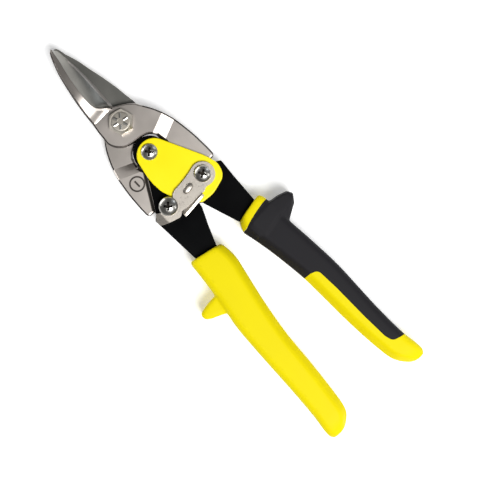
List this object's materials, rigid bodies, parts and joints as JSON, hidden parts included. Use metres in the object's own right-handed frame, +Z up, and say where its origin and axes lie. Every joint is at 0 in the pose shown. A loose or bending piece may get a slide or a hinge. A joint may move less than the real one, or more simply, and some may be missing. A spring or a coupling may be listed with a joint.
{
  "type": "aviation snips",
  "caption": "Compound-lever sheet-metal shears with tapered blades, channel handles, a swinging latch and moulded grips with thumb stops.",
  "frame": {"origin": "middle of the bounding box, on the plane the tool lies on", "axes": "+X to the blade tips, +Y to the yellow handle, +Z up through the face with the latch"},
  "size_m": [0.2494, 0.079, 0.0216],
  "materials": {
    "blade_steel": "satin, ground jaws",
    "bright_steel": "bright plated",
    "latch_steel": "tumbled satin",
    "spring_steel": "oiled",
    "black_paint": "gloss",
    "yellow_paint": "gloss",
    "yellow_plastic": "satin",
    "black_rubber": "fine-grained matte"
  },
  "bodies": {
    "right_handle": {"right_frame": "black_paint", "cover_plate": "yellow_paint", "rear_link_plate": "black_paint", "right_grip_core": "yellow_plastic", "right_grip_overmould": "black_rubber", "handle_screw": "bright_steel", "handle_sleeve": "spring_steel", "handle_nut": "bright_steel", "front_tail_screw": "bright_steel", "front_tail_sleeve": "spring_steel", "front_tail_nut": "bright_steel", "latch_bush": "bright_steel", "latch_washer": "spring_steel", "return_spring": "spring_steel"},
    "left_handle": {"left_frame": "black_paint", "left_grip": "yellow_plastic", "back_tail_screw": "bright_steel", "back_tail_sleeve": "spring_steel", "back_tail_nut": "bright_steel", "latch_spacer": "bright_steel", "return_spring_leg": "spring_steel"},
    "front_blade": {"front_blade": "blade_steel", "main_bolt": "bright_steel", "main_nut": "bright_steel", "main_washer": "bright_steel"},
    "back_blade": {"back_blade": "blade_steel"},
    "latch": {"latch": "latch_steel"}
  },
  "joints": [
    {"name": "handle_opening", "type": "hinge", "parent": "right_handle", "child": "left_handle", "pos_m": [0.0503, 0.00048, 0.01], "axis": [0, 0, -1], "range_deg": [0, 44]},
    {"name": "front_blade_pivot", "type": "hinge", "parent": "right_handle", "child": "front_blade", "pos_m": [0.0228, -0.01182, 0.01], "axis": [0, 0, -1], "range_deg": [0, 10.5]},
    {"name": "back_blade_pivot", "type": "hinge", "parent": "left_handle", "child": "back_blade", "pos_m": [0.0228, 0.01278, 0.01], "axis": [0, 0, 1], "range_deg": [0, 10.5]},
    {"name": "latch_swing", "type": "hinge", "parent": "right_handle", "child": "latch", "pos_m": [0.0228, -0.01182, 0.017], "axis": [0, 0, 1], "range_deg": [0, 45]}
  ],
  "couplings": [
    {"joint": "front_blade_pivot", "follows": "handle_opening", "ratio": 0.2375},
    {"joint": "back_blade_pivot", "follows": "handle_opening", "ratio": 0.2375}
  ]
}
